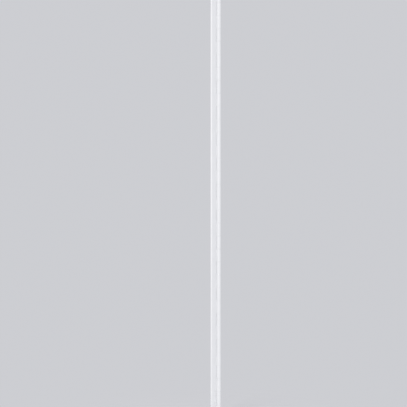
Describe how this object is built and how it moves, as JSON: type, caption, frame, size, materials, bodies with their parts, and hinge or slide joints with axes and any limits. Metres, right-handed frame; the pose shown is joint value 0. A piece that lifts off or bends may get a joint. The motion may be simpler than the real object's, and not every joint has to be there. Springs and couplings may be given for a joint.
{
  "type": "piano hinge",
  "caption": "Continuous door hinge: two plain narrow steel leaves with interleaved rolled knuckles, turning on one full-length pin.",
  "frame": {"origin": "middle of the frame leaf's flat back face, the face that lies on the door frame", "axes": "+Z along the pin, +Y out of the frame leaf's back face into the frame, +X across the frame leaf towards the pin"},
  "size_m": [0.016, 0.016, 0.66],
  "materials": {
    "leaf_paint": "satin",
    "pin_steel": "satin"
  },
  "bodies": {
    "frame_side": {"frame_leaf": "leaf_paint", "hinge_pin": "pin_steel"},
    "door_side": {"door_leaf": "leaf_paint"}
  },
  "joints": [
    {"name": "door_swing", "type": "hinge", "parent": "frame_side", "child": "door_side", "pos_m": [0.00827, -0.00365, 0], "axis": [0, 0, -1], "range_deg": [0, 270]}
  ]
}
